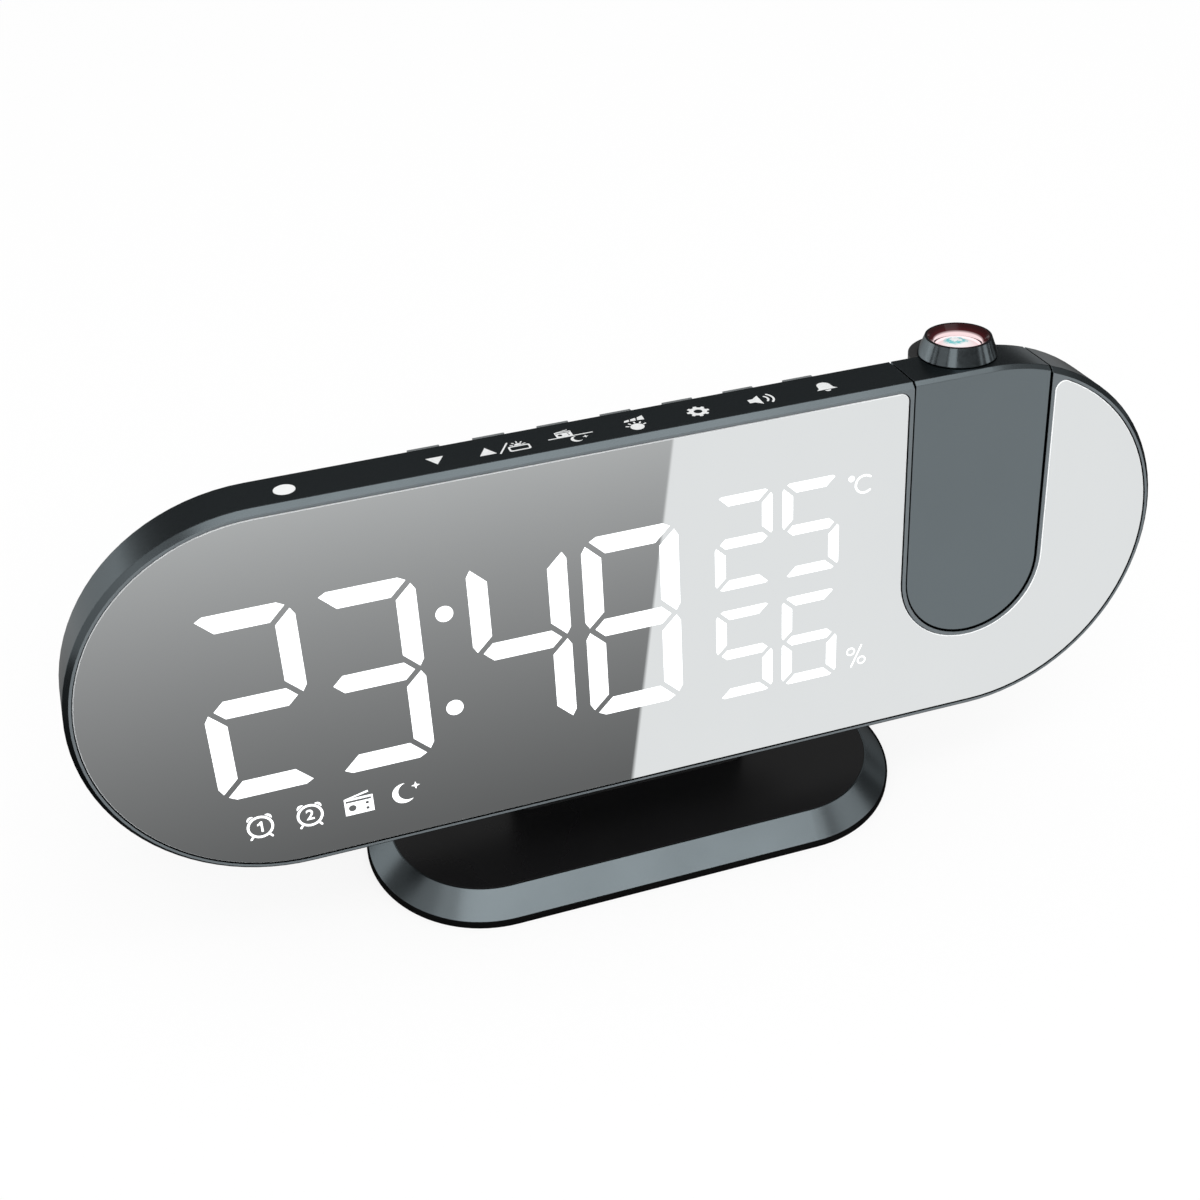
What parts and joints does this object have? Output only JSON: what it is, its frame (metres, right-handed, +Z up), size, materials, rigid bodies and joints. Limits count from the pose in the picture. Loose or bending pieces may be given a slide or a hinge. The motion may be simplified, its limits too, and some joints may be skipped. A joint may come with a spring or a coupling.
{
  "type": "projection alarm clock",
  "caption": "Stadium-shaped mirror alarm clock on a low bevelled foot, with lit digits, rear buttons and a projector arm that folds back out of the head.",
  "frame": {"origin": "middle of the foot's underside, on the table", "axes": "+Z up, +X to the viewer's right along the head's length, the mirror faces -Y and leans back 9.15 degrees"},
  "size_m": [0.19, 0.0436, 0.0873],
  "materials": {
    "satin_gunmetal": "satin dark grey lacquer over ABS",
    "black_gloss": "semi-gloss black ABS",
    "button_grey": "matte grey",
    "mirror_face": "half-silvered acrylic, polished edge",
    "lit_white": "white diffuser, lit",
    "black_matte": "matte black",
    "board_green": "solder mask over glass-fibre board",
    "chip_black": "moulded package",
    "steel": "plain steel",
    "bronze": "phosphor bronze",
    "lens_glass": "clear, polished",
    "red_led": "lit package",
    "foot_rubber": "matte black rubber"
  },
  "bodies": {
    "clock": {"front_bezel": "satin_gunmetal", "foot_shell": "satin_gunmetal", "rear_housing": "black_gloss", "neck": "black_gloss", "foot_inlay": "black_gloss", "battery_door": "black_gloss", "mirror_panel": "mirror_face", "digit_diffusers": "lit_white", "light_sensor_window": "lit_white", "display_reflector": "black_matte", "battery_holder": "black_matte", "power_inlet": "black_matte", "speaker": "black_matte", "main_board": "board_green", "button_board": "board_green", "board_parts": "chip_black", "tact_switches": "chip_black", "housing_screws": "steel", "hinge_axle": "steel", "foot_screws": "steel", "neck_screws": "steel", "ballast_plate": "steel", "coin_cell": "steel", "friction_washers": "bronze", "foot_pad": "foot_rubber"},
    "projector_arm": {"arm_front_cover": "satin_gunmetal", "arm_rear_cover": "black_gloss", "arm_screws": "steel", "optics_holder": "black_matte", "projector_board": "board_green", "projector_led": "red_led", "condenser_lens": "lens_glass", "digit_slide": "lens_glass"},
    "focus_ring": {"focus_ring": "black_gloss"},
    "lens_cell": {"lens_cell": "black_matte", "projection_lens": "lens_glass"},
    "down_button": {"down_button": "button_grey"},
    "up_button": {"up_button": "button_grey"},
    "radio_button": {"radio_button": "button_grey"},
    "projection_button": {"projection_button": "button_grey"},
    "set_button": {"set_button": "button_grey"},
    "volume_button": {"volume_button": "button_grey"},
    "alarm_button": {"alarm_button": "button_grey"}
  },
  "joints": [
    {"name": "arm_tilt", "type": "hinge", "parent": "clock", "child": "projector_arm", "pos_m": [0.0597, 0.00336, 0.0496], "axis": [-1, 0, 0], "range_deg": [0, 150]},
    {"name": "focus_turn", "type": "hinge", "parent": "projector_arm", "child": "focus_ring", "pos_m": [0.0589, 0.00575, 0.08335], "axis": [0, 0.159, 0.9873], "range_deg": [-60, 60]},
    {"name": "lens_focus", "type": "slide", "parent": "projector_arm", "child": "lens_cell", "axis": [0, 0.159, 0.9873], "range_m": [-0.0005, 0.0005]},
    {"name": "down_button_press", "type": "slide", "parent": "clock", "child": "down_button", "axis": [0, -0.9873, 0.159], "range_m": [0, 0.0006], "stiffness_N_per_m": 1500},
    {"name": "up_button_press", "type": "slide", "parent": "clock", "child": "up_button", "axis": [0, -0.9873, 0.159], "range_m": [0, 0.0006], "stiffness_N_per_m": 1500},
    {"name": "radio_button_press", "type": "slide", "parent": "clock", "child": "radio_button", "axis": [0, -0.9873, 0.159], "range_m": [0, 0.0006], "stiffness_N_per_m": 1500},
    {"name": "projection_button_press", "type": "slide", "parent": "clock", "child": "projection_button", "axis": [0, -0.9873, 0.159], "range_m": [0, 0.0006], "stiffness_N_per_m": 1500},
    {"name": "set_button_press", "type": "slide", "parent": "clock", "child": "set_button", "axis": [0, -0.9873, 0.159], "range_m": [0, 0.0006], "stiffness_N_per_m": 1500},
    {"name": "volume_button_press", "type": "slide", "parent": "clock", "child": "volume_button", "axis": [0, -0.9873, 0.159], "range_m": [0, 0.0006], "stiffness_N_per_m": 1500},
    {"name": "alarm_button_press", "type": "slide", "parent": "clock", "child": "alarm_button", "axis": [0, -0.9873, 0.159], "range_m": [0, 0.0006], "stiffness_N_per_m": 1500}
  ],
  "couplings": [
    {"joint": "focus_turn", "follows": "lens_focus", "rad_per_m": 2094}
  ]
}
